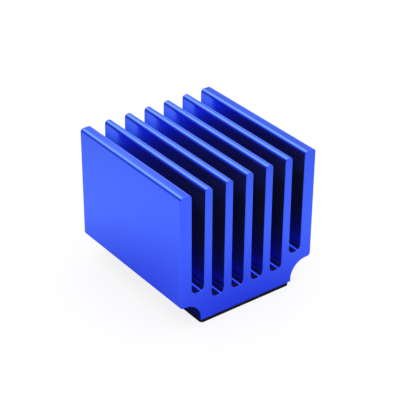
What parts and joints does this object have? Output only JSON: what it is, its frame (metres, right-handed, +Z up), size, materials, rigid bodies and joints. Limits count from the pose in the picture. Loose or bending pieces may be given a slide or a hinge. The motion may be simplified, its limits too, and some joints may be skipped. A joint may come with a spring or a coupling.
{
  "type": "heat sink",
  "caption": "Small extruded aluminium heat sink with upright fins, concave notches along its lower corners and a thin adhesive pad under its base.",
  "frame": {"origin": "centre of the pad's underside, the face that lies on the chip", "axes": "+Y along the extrusion and the fins, +X across the fins, +Z up out of the base towards the fin tips"},
  "size_m": [0.0142, 0.0148, 0.0132],
  "materials": {
    "anodised_aluminium": "blue anodised, satin",
    "thermal_pad": "matt black silicone"
  },
  "bodies": {
    "root": {"heat_sink": "anodised_aluminium", "thermal_pad": "thermal_pad"}
  },
  "joints": []
}
